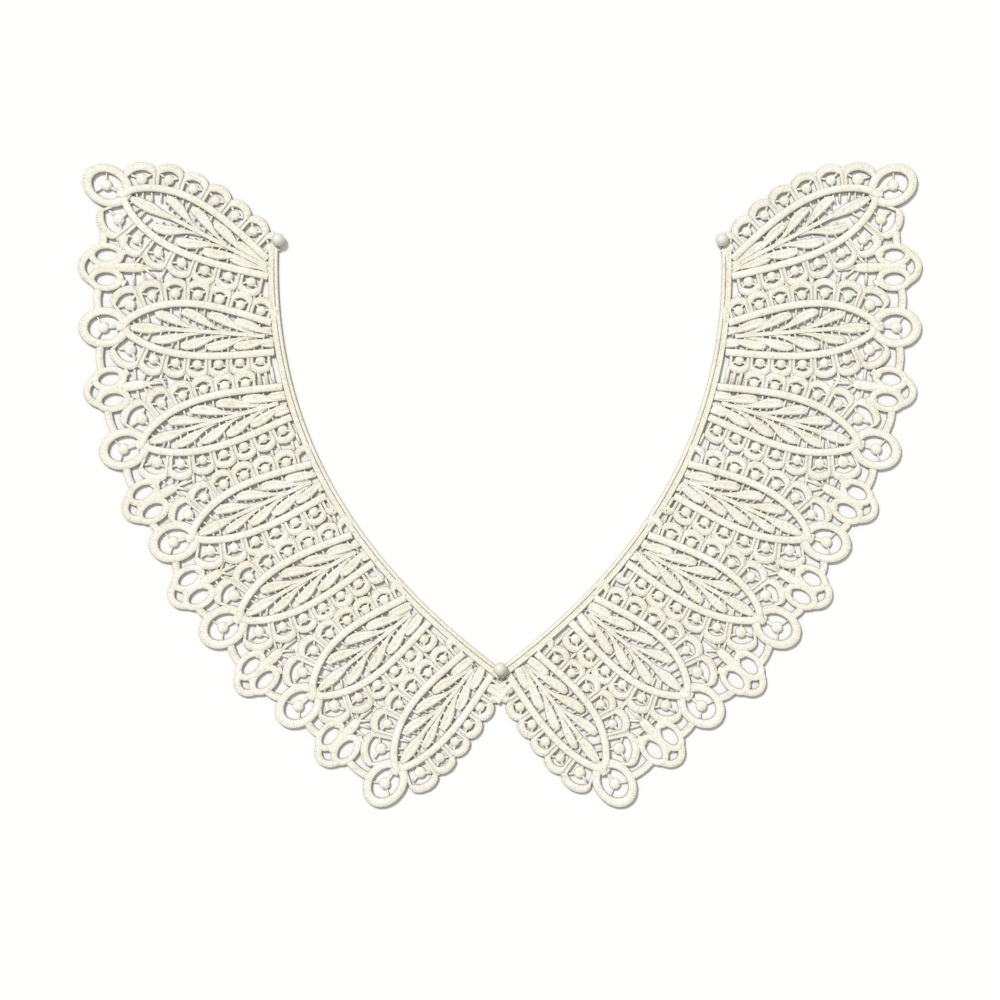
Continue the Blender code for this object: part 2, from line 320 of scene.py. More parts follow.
@dataclass(frozen=True)
class Cord:
    """A padded satin cord: its size, and how strongly its turns of thread stand out."""

    width: float
    top: float
    base: float = 0.0
    columns: int = 9
    crease: float = 0.0
    turn: float = 0.42
    ridge: float = 0.05
    roundness: float = 0.28
    dashed: bool = False

    def sew(self, work: Stitchwork, path: np.ndarray, closed: bool = False,
            widths: np.ndarray | None = None, heights: np.ndarray | None = None) -> None:
        """Sweeps the padded profile along a path.

        A point is the path's, plus the profile's across share times half the width
        along the normal, at a height of base plus the up share times the rest. Every
        second section is a little smaller, so that the turns of thread show.

        Args:
            work: the stitchwork that takes the cord in.
            path: the middle of the cord, in millimetres.
            closed: whether the path returns to its start.
            widths: a share of the width at each point of the path.
            heights: a share of the height at each point of the path.
        """
        shares = np.ones((len(path), 2))
        if widths is not None:
            shares[:, 0] = widths
        if heights is not None:
            shares[:, 1] = heights
        given = np.column_stack([path, shares])
        if closed:
            given = np.vstack([given, given[:1]])
        measured = running_length(given[:, :2])
        count = max(3, int(round(measured[-1] / self.turn)) + 1)
        lengths = np.linspace(0.0, measured[-1], count)
        path = at_length(measured, given, lengths)
        if closed:
            path = path[:-1]
        path, wide, high = path[:, :2], path[:, 2], path[:, 3]
        rows = len(path)
        uneven = np.random.default_rng(rows + int(40 * abs(path[0, 0])))
        scale = 1.0 - self.ridge * (np.arange(rows) % 2) - uneven.uniform(0.0, self.ridge, rows)
        width = self.width * scale * wide
        height = (self.top - self.base) * scale * high
        if closed:
            forward = np.roll(path, -1, axis=0) - np.roll(path, 1, axis=0)
        else:
            forward = np.gradient(path, axis=0)
        normal = turned(unit(forward), 90.0)
        profile = padded_profile(self.columns, self.crease, self.roundness)
        flat = path[:, None] + (width / 2)[:, None, None] * profile[:, :1] * normal[:, None]
        up = self.base + height[:, None] * profile[:, 1]
        points = np.dstack([flat, up]).reshape(-1, 3)
        quads = grid_faces(rows, self.columns, closed)
        segment, column = np.divmod(np.arange(len(quads)), self.columns)
        last = lengths[segment + 1] if closed else lengths[np.minimum(segment + 1, rows - 1)]
        shift = 0.5 if self.dashed else 0.5 + PLAIN_SHIFT
        share_across = np.append(profile[:, 0], profile[:1, 0]) / -2 + shift
        across = np.stack([share_across[column + end] for end in (0, 1, 1, 0)])
        along = np.stack([lengths[segment], lengths[segment], last, last])
        groups = [(quads, np.stack([along.T, across.T], axis=-1))]
        if not closed:
            groups.append((end_caps(rows, self.columns), np.zeros((2, self.columns, 2))))
        work.add(points, groups)


def sew_bars(work: Stitchwork, starts: np.ndarray, ends: np.ndarray, width: float,
             base: float, top: float, flare: float = 1.0) -> None:
    """Sews thin straight bars of thread, all at once: a five-sided profile at both ends.

    Args:
        work: the stitchwork that takes them in.
        starts: rows of x, y where bars start.
        ends: rows of x, y where they end.
        width: a bar's width.
        base: the height of its underside.
        top: the height of its top.
        flare: how many times wider its end is than its start.
    """
    profile = np.array([(1.0, 0.0), (0.8, 0.7), (0.0, 1.0), (-0.8, 0.7), (-1.0, 0.0)])
    columns = len(profile)
    count = len(starts)
    normal = turned(unit(ends - starts), 90.0)
    sections = []
    for place, wide in ((starts, width), (ends, width * flare)):
        flat = place[:, None] + wide / 2 * profile[:, :1] * normal[:, None]
        up = np.broadcast_to(base + (top - base) * profile[:, 1], (count, columns))
        sections.append(np.dstack([flat, up]))
    points = np.stack(sections, axis=1).reshape(-1, 3)
    groups = tube_faces(count, len(sections), columns)
    work.add(points, [(faces, np.full((*faces.shape, 2), UNSHADED)) for faces in groups])


def sew_dots(work: Stitchwork, middles: np.ndarray, radii: np.ndarray, base: float,
             top: float, segments: int = 16, rings: int = 5) -> None:
    """Sews padded dots, all at once.

    A dot's radius falls with a cosine and its height rises with the square root of
    a sine, from its rim to a small flat crown.

    Args:
        work: the stitchwork that takes them in.
        middles: rows of x, y.
        radii: each dot's radius.
        base: the height of the rims.
        top: the height of the crowns.
        segments: points round a dot.
        rings: rings from rim to crown.
    """
    crown_angle = 0.46 * np.pi
    climb = np.linspace(0.0, crown_angle, rings)
    around = np.linspace(0.0, 2 * np.pi, segments, endpoint=False)
    reach = np.cos(climb)[:, None, None] * np.stack([np.cos(around), np.sin(around)], axis=-1)
    flat = middles[:, None, None] + radii[:, None, None, None] * reach
    up = base + (top - base) * np.sin(climb) ** 0.5
    up = np.broadcast_to(up[:, None], (len(middles), rings, segments))
    points = np.concatenate([flat, up[..., None]], axis=-1).reshape(-1, 3)
    spread = points[:, :2] * (1.0, 0.0) + (0.0, UNSHADED)
    groups = tube_faces(len(middles), rings, segments)
    work.add(points, [(faces, spread[faces]) for faces in groups])


# ---------------------------------------------------------------- finishes


def new_material(name: str, settings: dict[str, object]) -> bpy.types.Material:
    """Makes a material with one shader.

    Args:
        name: the material's name.
        settings: values for the shader's inputs.

    Returns:
        The material.
    """
    material = bpy.data.materials.new(name)
    material.use_nodes = True
    shader = material.node_tree.nodes["Principled BSDF"]
    for socket, value in settings.items():
        shader.inputs[socket].default_value = value
    return material


@dataclass(frozen=True)
class Finish:
    """Cotton thread: two tones, painted shade near the table, on its sides and in its hollows, and the
    marks of its stitches.

    UVs hold millimetres along a cord and the share across it. Blotches, grain and
    fibre are in cells to the metre. Turn, mark pitch and relief are in millimetres,
    and relief is how far the bump lifts a height of one.
    """

    name: str
    light: tuple[float, float, float] = (0.98, 0.955, 0.87)
    warm: tuple[float, float, float] = (0.93, 0.895, 0.75)
    # Painted shade near the table: the colour that the thread is darkened to at the table, fading out up
    # to the height on the next line.
    depth: tuple[float, float, float] = (0.30, 0.28, 0.17)
    table_shade_height: float = 1.1
    edge_shade: float = 0.45
    blotches: float = 110.0
    grain: float = 2400.0
    grain_shade: float = 0.14
    fibre: float = 950.0
    hollow_shade: float = 0.30
    turn: float = 0.42
    mark_pitch: float = 0.86
    relief: float = 0.16
    bump: float = 0.5
    roughness: float = 0.75
    sheen: float = 0.25

    def material(self) -> bpy.types.Material:
        """The finish's material, made once.

        Colour is two tones mixed by noise, with painted shade in the pits between stitches,
        along the row of needle marks, on the cords' steep sides and near the table. Bump is a
        sine along the cord, with fine noise and the pits and marks taken off.

        Returns:
            The material.
        """
        made = bpy.data.materials.get(self.name)
        if made is not None:
            return made
        settings = {
            "Roughness": self.roughness,
            "Sheen Weight": self.sheen,
            "Sheen Roughness": 0.4,
            "Specular IOR Level": 0.25,
        }
        material = new_material(self.name, settings)
        tree = material.node_tree
        shader = tree.nodes["Principled BSDF"]
        nodes = Nodes(tree)
        place = nodes.add("ShaderNodeTexCoord")
        blotch = nodes.noise(place.outputs["Object"], self.blotches, 3.0)
        grain = nodes.noise(place.outputs["Object"], self.grain, 2.0)
        fibre = nodes.noise(place.outputs["Object"], self.fibre, 1.0)
        tone = nodes.mix(nodes.spread(blotch, 0.35, 0.65), self.warm, self.light)
        # Painted shade near the table: the colour falls to the dark one at the thread's underside and
        # rises to the tones above.
        rise = nodes.spread(nodes.axis(place.outputs["Object"], "Z"), 0.0, self.table_shade_height * MM)
        tone_with_table_shade = nodes.mix(rise, self.depth, tone)
        pits = nodes.spread(fibre, 0.56, 0.70)
        marks = self.needle_marks(nodes, place.outputs["UV"])
        hollow = nodes.sum(pits, 0.6, marks, 0.85)
        across = nodes.axis(place.outputs["UV"], "Y")
        aside = nodes.math("ABSOLUTE", nodes.math("SUBTRACT", nodes.math("FRACT", across, 0.0), 0.5), 0.0)
        shaded = nodes.darken(tone_with_table_shade, nodes.spread(aside, 0.49, 0.34), self.edge_shade)
        speckled = nodes.darken(shaded, nodes.spread(grain, 0.30, 0.62), self.grain_shade)
        marked = nodes.darken(speckled, nodes.spread(hollow, 1.0, 0.0), self.hollow_shade)
        tree.links.new(marked, shader.inputs["Base Color"])
        turns = nodes.sine(place.outputs["UV"], 2 * np.pi / self.turn)
        height = nodes.sum(nodes.sum(turns, 0.2, grain, 1.0), 1.0, hollow, -1.6)
        bump = nodes.add("ShaderNodeBump")
        bump.inputs["Strength"].default_value = self.bump
        bump.inputs["Distance"].default_value = self.relief * MM
        tree.links.new(height, bump.inputs["Height"])
        tree.links.new(bump.outputs["Normal"], shader.inputs["Normal"])
        return material

    def needle_marks(self, nodes: "Nodes", place: bpy.types.NodeSocket) -> bpy.types.NodeSocket:
        """A row of short dashes across the cord, near its left edge.

        Args:
            nodes: the material's nodes.
            place: the UVs.

        Returns:
            One in each dash, and nought elsewhere.
        """
        wave = nodes.sine(place, 2 * np.pi / self.mark_pitch)
        dash = nodes.spread(wave, 0.3, 0.75)
        across = nodes.axis(place, "Y")
        inside = nodes.spread(across, 0.16, 0.22)
        row = nodes.product(inside, nodes.spread(across, 0.36, 0.30))
        return nodes.product(dash, row)


@dataclass
class Nodes:
    """Short ways to add the nodes that the finishes share."""

    tree: bpy.types.NodeTree

    def add(self, kind: str) -> bpy.types.Node:
        """A new node of that kind."""
        return self.tree.nodes.new(kind)

    def noise(self, place: bpy.types.NodeSocket, scale: float, detail: float) -> bpy.types.NodeSocket:
        """Adds noise.

        Args:
            place: where it is read.
            scale: how many cells it has to the metre.
            detail: how many finer layers lie on it.

        Returns:
            Its factor, from 0 to 1.
        """
        node = self.add("ShaderNodeTexNoise")
        node.inputs["Scale"].default_value = scale
        node.inputs["Detail"].default_value = detail
        self.tree.links.new(place, node.inputs["Vector"])
        return node.outputs["Fac"]

    def axis(self, place: bpy.types.NodeSocket, letter: str) -> bpy.types.NodeSocket:
        """Takes one coordinate.

        Args:
            place: the vector.
            letter: X, Y or Z.

        Returns:
            That coordinate.
        """
        node = self.add("ShaderNodeSeparateXYZ")
        self.tree.links.new(place, node.inputs["Vector"])
        return node.outputs[letter]

    def math(self, operation: str, first: bpy.types.NodeSocket, second: float) -> bpy.types.NodeSocket:
        """Adds a Math node on a socket and a number.

        Args:
            operation: what it does.
            first: the socket.
            second: the number, which some operations don't read.

        Returns:
            The result.
        """
        node = self.add("ShaderNodeMath")
        node.operation = operation
        node.inputs[1].default_value = second
        self.tree.links.new(first, node.inputs[0])
        return node.outputs["Value"]

    def sine(self, place: bpy.types.NodeSocket, rate: float) -> bpy.types.NodeSocket:
        """The sine of the first coordinate times a rate."""
        return self.math("SINE", self.math("MULTIPLY", self.axis(place, "X"), rate), 0.0)

    def spread(self, value: bpy.types.NodeSocket, low: float, high: float) -> bpy.types.NodeSocket:
        """Stretches a value to 0 to 1, and holds it there.

        Args:
            value: the value.
            low: what becomes 0.
            high: what becomes 1.

        Returns:
            The stretched value.
        """
        node = self.add("ShaderNodeMapRange")
        node.inputs["From Min"].default_value = low
        node.inputs["From Max"].default_value = high
        # The UVs hold the height share, which sets the nacre's painted shade.
        self.tree.links.new(value, node.inputs["Value"])
        return node.outputs["Result"]

    def product(self, first: bpy.types.NodeSocket,
                second: bpy.types.NodeSocket) -> bpy.types.NodeSocket:
        """Multiplies two values.

        Args:
            first: the one.
            second: the other.

        Returns:
            Their product.
        """
        node = self.add("ShaderNodeMath")
        node.operation = "MULTIPLY"
        self.tree.links.new(first, node.inputs[0])
        self.tree.links.new(second, node.inputs[1])
        return node.outputs["Value"]

    def sum(self, first: bpy.types.NodeSocket, first_share: float,
            second: bpy.types.NodeSocket, second_share: float) -> bpy.types.NodeSocket:
        """Adds two values, each times its share.

        Args:
            first: the one.
            first_share: its share.
            second: the other.
            second_share: its share.

        Returns:
            The sum.
        """
        node = self.add("ShaderNodeMath")
        node.operation = "ADD"
        self.tree.links.new(self.math("MULTIPLY", first, first_share), node.inputs[0])
        self.tree.links.new(self.math("MULTIPLY", second, second_share), node.inputs[1])
        return node.outputs["Value"]

    def mix(self, share: bpy.types.NodeSocket, low: object, high: object) -> bpy.types.NodeSocket:
        """Mixes two colours.

        Args:
            share: 0 for the low one, up to 1 for the high one.
            low: a colour or a socket.
            high: a colour or a socket.

        Returns:
            The mixed colour.
        """
        node = self.add("ShaderNodeMix")
        node.data_type = "RGBA"
        self.tree.links.new(share, node.inputs["Factor"])
        for socket, value in ((node.inputs[6], low), (node.inputs[7], high)):
            if isinstance(value, bpy.types.NodeSocket):
                self.tree.links.new(value, socket)
            else:
                socket.default_value = (*value, 1.0)
        return node.outputs[2]

    def darken(self, colour: bpy.types.NodeSocket, keep: bpy.types.NodeSocket,
               most: float) -> bpy.types.NodeSocket:
        """Darkens a colour: times one minus most where keep is 0, up to itself where it is 1.

        Args:
            colour: the colour.
            keep: how much of it is kept.
            most: how much of it is taken off at most.

        Returns:
            The darkened colour.
        """
        grey = self.mix(keep, (1 - most,) * 3, (1.0, 1.0, 1.0))
        node = self.add("ShaderNodeMix")
        node.data_type = "RGBA"
        node.blend_type = "MULTIPLY"
        node.inputs["Factor"].default_value = 1.0
        self.tree.links.new(colour, node.inputs[6])
        self.tree.links.new(grey, node.inputs[7])
        return node.outputs[2]


@dataclass(frozen=True)
class Nacre:
    """The pearls' coat: a grey-white body under a clear gloss, with painted shade that greys it at its
    girth.
    """

    name: str = "nacre"
    # Painted shade: the body is this grey at its girth, where light from above falls off, and this pale
    # at its crown.
    rim: tuple[float, float, float] = (0.42, 0.39, 0.33)
    crown: tuple[float, float, float] = (0.86, 0.835, 0.78)
    roughness: float = 0.2
    coat: float = 1.0
    coat_roughness: float = 0.12
    specular: float = 0.9

    def material(self) -> bpy.types.Material:
        """The pearl's material, made once: painted shade, greyer at its girth than at its crown, and a
        coat.

        Returns:
            The material.
        """
        made = bpy.data.materials.get(self.name)
        if made is not None:
            return made
        settings = {
            "Roughness": self.roughness,
            "Coat Weight": self.coat,
            "Coat Roughness": self.coat_roughness,
            "Specular IOR Level": self.specular,
        }
        material = new_material(self.name, settings)
        tree = material.node_tree
        shader = tree.nodes["Principled BSDF"]
        nodes = Nodes(tree)
        place = nodes.add("ShaderNodeTexCoord")
        # Painted shade: the body darkens from the crown colour to the girth colour down the height share
        # held in the UVs.
        up = nodes.spread(nodes.axis(place.outputs["UV"], "Y"), 0.1, 1.0)
        tree.links.new(nodes.mix(up, self.rim, self.crown), shader.inputs["Base Color"])
        return material


# ---------------------------------------------------------------- the collar's lines


@dataclass(frozen=True)
class NeckEdge:
    """The neck edge of one half: a Bezier curve from its back end to the front point."""

    back_end: tuple[float, float] = (-88.6, 95.2)
    back_heading: float = -92.0
    back_handle: float = 73.1
    front_point: tuple[float, float] = (0.0, -73.0)
    front_heading: float = -36.8
    front_handle: float = 70.6

    def samples(self, count: int = 400) -> tuple[np.ndarray, np.ndarray, np.ndarray]:
        """The cubic Bezier curve, as points.

        Args:
            count: how many.

        Returns:
            The points, their running length, and the way out from the neck at each.
        """
        start, end = np.array(self.back_end), np.array(self.front_point)
        first = start + self.back_handle * turned(EAST, self.back_heading)
        last = end - self.front_handle * turned(EAST, self.front_heading)
        t = np.linspace(0.0, 1.0, count)[:, None]
        points = (
            (1 - t) ** 3 * start
            + 3 * (1 - t) ** 2 * t * first
            + 3 * (1 - t) * t**2 * last
            + t**3 * end
        )
        outward = turned(unit(np.gradient(points, axis=0)), -90.0)
        return points, running_length(points), outward

    def at(self, stations: np.ndarray | float, offset: float = 0.0) -> np.ndarray:
        """Points at stations along the edge, that far out from the neck."""
        points, lengths, _ = self.samples()
        return at_length(lengths, points, stations) + offset * self.outward(stations)

    def outward(self, stations: np.ndarray | float) -> np.ndarray:
        """The way out from the neck at stations along the edge."""
        _, lengths, outward = self.samples()
        return unit(at_length(lengths, outward, stations))

    def depth(self, path: np.ndarray) -> np.ndarray:
        """How far out from the neck edge a path is.

        Args:
            path: rows of x, y.

        Returns:
            The distance at each point, less than nought inside the neck.
        """
        points, _, outward = self.samples(160)
        nearest = np.argmin(np.linalg.norm(path[:, None] - points, axis=2), axis=1)
        return np.sum((path - points[nearest]) * outward[nearest], axis=1)

    def line(self, offset: float, seam: float = -0.15) -> np.ndarray:
        """The whole edge, offset outwards and run on straight to the front seam.

        Args:
            offset: how far out from the neck.
            seam: the X at which it ends.

        Returns:
            The points from the back to the seam.
        """
        straight = 0.3
        points, _, outward = self.samples()
        line = points + offset * outward
        line = line[line[:, 0] < seam - straight]
        heading = turned(EAST, self.front_heading)
        return np.vstack([line, line[-1] + heading * (seam - line[-1, 0]) / heading[0]])


@dataclass(frozen=True)
class Arches:
    """How arches stand along one side of a leaf, in lengths along its cord from the knot.

    First is where the first arch ends, and end is where the last one does. Hole is
    the height of an arch's opening at the tape, and rise what it gains at the tip.
    """

    count: int
    first: float
    end: float
    hole: float
    rise: float
    start: float = 2.4
    power: float = 2.6

    def feet(self) -> np.ndarray:
        """The lengths where one arch ends and the next starts."""
        return np.append(self.start, np.linspace(self.first, self.end, self.count))

    def height(self, share: np.ndarray | float) -> np.ndarray | float:
        """The height of an opening at a share of the cord's length."""
        return self.hole + self.rise * (1.0 - share) ** self.power


@dataclass(frozen=True)
class Leaf:
    """One leaf motif's place and size on the neck edge.

    The station runs along the neck edge from the back. The lean is in degrees from
    square to the edge, towards the back. The reach is from the edge to the knot.
    """

    number: int
    station: float
    lean: float
    reach: float
    foot: float
    back_bulge: float
    front_bulge: float
    ring_turn: float
    back_arches: Arches
    front_arches: Arches
    first_petal: float = 13.2
    petal_pitch: float = 10.2
    neck: NeckEdge = NeckEdge()
    tape_width: float = 4.0
    bluntness: float = 0.7

    @property
    def out(self) -> np.ndarray:
        """The way from the neck edge to the knot."""
        return turned(self.neck.outward(self.station), -self.lean)

    @property
    def across(self) -> np.ndarray:
        """The way across the leaf, towards the back."""
        return turned(self.out, -90.0)

    @property
    def knot(self) -> np.ndarray:
        """Where the leaf's two cords cross."""
        return self.neck.at(self.station) + self.reach * self.out

    @property
    def length(self) -> float:
        """From the knot to the tape."""
        return self.reach - self.tape_width

    def arches(self, flank: Flank) -> Arches:
        """The arches along one of the leaf's sides."""
        return self.back_arches if flank is Flank.BACK else self.front_arches

    def half_width(self, depth: np.ndarray, flank: Flank) -> np.ndarray:
        """Axis to cord at depths in from the knot.

        The foot's half width times the depth's share, plus the bulge times the sine
        of pi times that share raised to the bluntness.

        Args:
            depth: the depths.
            flank: the side.

        Returns:
            The half width at each depth.
        """
        share = np.clip(depth / self.length, 0.0, 1.0)
        bulge = self.back_bulge if flank is Flank.BACK else self.front_bulge
        return self.foot * share + bulge * np.sin(np.pi * share**self.bluntness)

    def place(self, depth: np.ndarray | float, aside: np.ndarray | float) -> np.ndarray:
        """Points at depths in from the knot and distances aside, towards the back."""
        return (
            self.knot
            - np.reshape(depth, (-1, 1)) * self.out
            + np.reshape(aside, (-1, 1)) * self.across
        )

    def flank_line(self, flank: Flank, samples: int = 160) -> tuple[np.ndarray, ...]:
        """The middle of one side's cord, from the knot to the tape.

        Args:
            flank: the side.
            samples: how many points, closer together near the knot.

        Returns:
            The points, their running length, and the way out from the leaf at each.
        """
        depth = self.length * np.linspace(0.0, 1.0, samples) ** 1.5
        points = self.place(depth, flank.value * self.half_width(depth, flank))
        outward = turned(unit(np.gradient(points, axis=0)), 90.0 * flank.value)
        return points, running_length(points), outward

    def beside(self, flank: Flank, lengths: np.ndarray | float,
               height: np.ndarray | float) -> np.ndarray:
        """Points beside one side's cord.

        Args:
            flank: the side.
            lengths: the lengths along the cord, from the knot.
            height: how far out from its middle, or inwards if it is less than nought.

        Returns:
            Rows of x, y.
        """
        points, running, outward = self.flank_line(flank)
        normals = unit(at_length(running, outward, np.atleast_1d(lengths)))
        middles = at_length(running, points, np.atleast_1d(lengths))
        return middles + np.reshape(height, (-1, 1)) * normals

    def ring_axes(self, ring_reach: float = 7.2) -> tuple[np.ndarray, np.ndarray]:
        """The middle of the ring at the leaf's tip, and the way outwards along it."""
        out = turned(self.out, self.ring_turn)
        return self.knot + ring_reach * out, out


LEAVES = (
    # number, station, lean, reach, foot, bulges, ring turn, arches (count, first, end, hole, rise)
    Leaf(1, 10.8, 28.4, 69.6, 2.8, 9.9, 9.0, 0.0,
         Arches(7, 13.2, 69.8, 7.0, 0.0), Arches(7, 12.5, 68.8, 6.2, 6.0), 16.5, 11.0),
    Leaf(2, 36.6, 12.9, 64.4, 5.7, 8.9, 7.0, 7.0,
         Arches(7, 11.3, 62.0, 5.7, 4.4), Arches(7, 12.6, 62.3, 5.2, 5.8), 13.2, 10.6),
    Leaf(3, 61.3, 0.4, 64.4, 6.3, 8.0, 6.8, 0.0,
         Arches(6, 12.2, 53.4, 4.8, 7.6), Arches(7, 11.9, 61.8, 5.6, 4.8)),
    Leaf(4, 94.4, 3.2, 59.6, 7.0, 7.4, 5.3, -9.0,
         Arches(6, 11.0, 53.5, 5.2, 5.8), Arches(6, 12.1, 54.5, 5.6, 4.0)),
    Leaf(5, 126.9, 8.1, 60.5, 6.9, 7.3, 6.1, 0.0,
         Arches(6, 11.2, 54.3, 5.1, 6.0), Arches(6, 12.4, 54.3, 5.3, 5.2)),
    Leaf(6, 159.0, 6.6, 57.3, 6.8, 8.3, 6.9, 0.0,
         Arches(6, 12.0, 53.0, 5.2, 6.0), Arches(6, 12.7, 55.0, 5.3, 4.6)),
    Leaf(7, 190.4, -0.5, 57.0, 7.1, 8.0, 5.1, 0.0,
         Arches(6, 12.7, 53.2, 5.8, 6.2), Arches(6, 12.6, 54.0, 5.3, 5.6)),
)


# ---------------------------------------------------------------- kinds of stitchwork


@dataclass(frozen=True)
class ArchRow:
    """The row of arches along one side of a leaf, each with a dot held by spokes.

    Leg and the crown widths are an arch's thin and broad widths. Straight is the least
    straight part of an opening's side, seat is how far out from the cord's middle the
    legs start, and shoulder is the crown's thickness at its ends.
    """

    leaf: Leaf
    flank: Flank
    leg: float = 1.4
    crown_width: float = 3.6
    inner_crown_width: float = 3.3
    top: float = 1.9
    straight: float = 2.2
    seat: float = 0.8
    shoulder: float = 0.5
    gap: float = 0.06
    edge_clearance: float = 1.2
    dot_radius: float = 2.15
    dot_clearance: float = 0.65
    spoke_width: float = 1.05
    gusset_width: float = 2.7
    bridge_width: float = 1.3
    last_bar_width: float = 1.5
    last_arch_length: float = 8.6

    @property
    def free(self) -> bool:
        """Whether no other leaf stands beside this side."""
        return (self.leaf.number, self.flank) in ((1, Flank.BACK), (7, Flank.FRONT))

    def sew(self, work: Stitchwork, chance: np.random.Generator) -> None:
        """Sews every arch and its dot, then what lies between them and beside the tape.

        Args:
            work: the stitchwork that takes them in.
            chance: the half's random numbers.
        """
        arches = self.leaf.arches(self.flank)
        total = self.leaf.flank_line(self.flank)[1][-1]
        feet = arches.feet()
        for number, (first, last) in enumerate(zip(feet[:-1], feet[1:])):
            hole = arches.height((first + last) / 2 / total) * chance.uniform(0.97, 1.03)
            crown = self.crown_width if self.free or number < 2 else self.inner_crown_width
            self.sew_arch(work, first, last, hole, number % 2, crown)
            self.sew_dot(work, chance, first, last, hole, number == 0)
        self.sew_gussets(work, feet[1:-1], total)
        if not self.free:
            self.sew_bridges(work, feet[2:], total)
        self.sew_last(work, feet[-1], total)

    def sew_arch(self, work: Stitchwork, first: float, last: float, hole: float, odd: int,
                 crown: float) -> None:
        """Sews one arch: a thin leg up, a broad crown over and a thin leg down.

        The opening's top is half an oval, as high as it is half wide, and the crown's
        outer edge is half a flatter oval above it. The cord runs midway between them,
        as wide as the gap at the crown and only as wide as there is place at the legs.

        Args:
            work: the stitchwork that takes it in.
            first: the length along the leaf's cord where it starts.
            last: the length where it ends.
            hole: the height of its opening.
            odd: 1 for every second arch, which lies a little higher.
            crown: the width of its crown.
        """
        middle, reach = (first + last) / 2, (last - first) / 2
        angle = np.linspace(np.pi, 0.0, 33)
        cosine, sine = np.cos(angle), np.sin(angle)
        opening = reach - self.leg
        climb = min(opening, hole - self.straight)
        inner = np.stack([opening * cosine, hole - climb + climb * sine])
        outer = np.stack(
            [(reach - self.gap) * cosine, hole + crown - (crown - self.shoulder) * (1.0 - sine)]
        )
        gap = np.linalg.norm(outer - inner, axis=0)
        legs = (inner[:, [0, -1]] + outer[:, [0, -1]]) / 2
        line = (inner + outer) / 2
        legs[1] = self.seat
        along, heights = np.hstack([legs[:, :1], line, legs[:, 1:]])
        slim = self.leg / crown
        widths = np.minimum(gap / crown, slim + (1.0 - slim) * 1.6 * sine)
        widths = np.clip(np.concatenate([[slim], widths, [slim]]), slim, 1.0)
        path = self.leaf.beside(self.flank, middle + along, heights)
        clear = self.leaf.neck.depth(path) > self.edge_clearance
        path, widths = path[clear], widths[clear]
        if self.flank is Flank.FRONT:
            path, widths = path[::-1], widths[::-1]
        cord = Cord(crown, self.top + 0.1 * odd, 0.05 + 0.05 * odd, dashed=True)
        cord.sew(work, path, widths=widths)

    def sew_dot(self, work: Stitchwork, chance: np.random.Generator, first: float, last: float,
                hole: float, at_tip: bool) -> None:
        """Sews an arch's dot in its opening, on three spokes like a Y turned over.

        Args:
            work: the stitchwork that takes it in.
            chance: the half's random numbers.
            first: the length along the leaf's cord where the arch starts.
            last: the length where it ends.
            hole: the height of its opening.
            at_tip: whether the arch is the one beside the knot, with a larger dot.
        """
        middle = (first + last) / 2 + (0.3 if at_tip else 0.0)
        height = (0.51 if at_tip else 0.57) * hole
        most = (last - first) / 2 - self.leg - self.dot_clearance
        radius = min(self.dot_radius + 0.25 * at_tip, most) * chance.uniform(0.95, 1.04)
        dot = self.leaf.beside(self.flank, middle, height)
        sew_dots(work, dot, np.array([radius]), 0.1, self.top + 0.05)
        turns = np.radians(np.array([32.0, 148.0, 270.0]) + chance.uniform(-12, 12, 3))
        ways = np.stack([np.cos(turns), np.sin(turns)])
        reach = radius + np.array([1.7, 1.7, height - radius - self.seat])
        near, far = 0.6 * radius * ways, reach * ways
        starts = self.leaf.beside(self.flank, middle + near[0], height + near[1])
        ends = self.leaf.beside(self.flank, middle + far[0], height + far[1])
        sew_bars(work, starts, ends, self.spoke_width, 0.35, 1.55)

    def sew_gussets(self, work: Stitchwork, feet: np.ndarray, total: float) -> None:
        """Sews the wedges that fill the place between two arches.

        Args:
            work: the stitchwork that takes them in.
            feet: the lengths along the leaf's cord where they stand.
            total: the cord's whole length.
        """
        arches = self.leaf.arches(self.flank)
        widths = np.array([0.7, 0.72, 0.75, 0.82, 1.0, 0.9])
        for foot in feet:
            heights = np.linspace(0.9, arches.height(foot / total) + 1.3, len(widths))
            path = self.leaf.beside(self.flank, np.full(len(widths), foot), heights)
            Cord(self.gusset_width, self.top - 0.5, 0.1).sew(work, path, widths=widths)

    def sew_bridges(self, work: Stitchwork, feet: np.ndarray, total: float) -> None:
        """Sews the short bars that join the arches to those of the next leaf.

        Args:
            work: the stitchwork that takes them in.
            feet: the lengths along the leaf's cord where they stand.
            total: the cord's whole length.
        """
        heights = self.leaf.arches(self.flank).height(feet / total)
        starts = self.leaf.beside(self.flank, feet, heights + 1.0)
        ends = self.leaf.beside(self.flank, feet, heights + 5.8)
        sew_bars(work, starts, ends, self.bridge_width, 0.3, 1.35)

    def sew_last(self, work: Stitchwork, foot: float, total: float) -> None:
        """Fills the place left beside the tape: with bars, with half an arch, or not at all.

        Args:
            work: the stitchwork that takes them in.
            foot: the length along the leaf's cord where the last arch ends.
            total: the cord's whole length.
        """
        room_for_bars, room_for_arch = 7.0, 1.5
        if total - foot > room_for_bars:
            stations = foot + np.array([1.9, 4.6, 7.3])
            starts = self.leaf.beside(self.flank, stations, 1.0)
            ends = self.leaf.beside(self.flank, stations - 0.9, 8.5)
            sew_bars(work, starts, ends, self.last_bar_width, 0.3, 1.7)
        elif total - foot > room_for_arch:
            hole = self.leaf.arches(self.flank).hole
            self.sew_arch(work, foot, foot + self.last_arch_length, hole, 1, self.inner_crown_width)


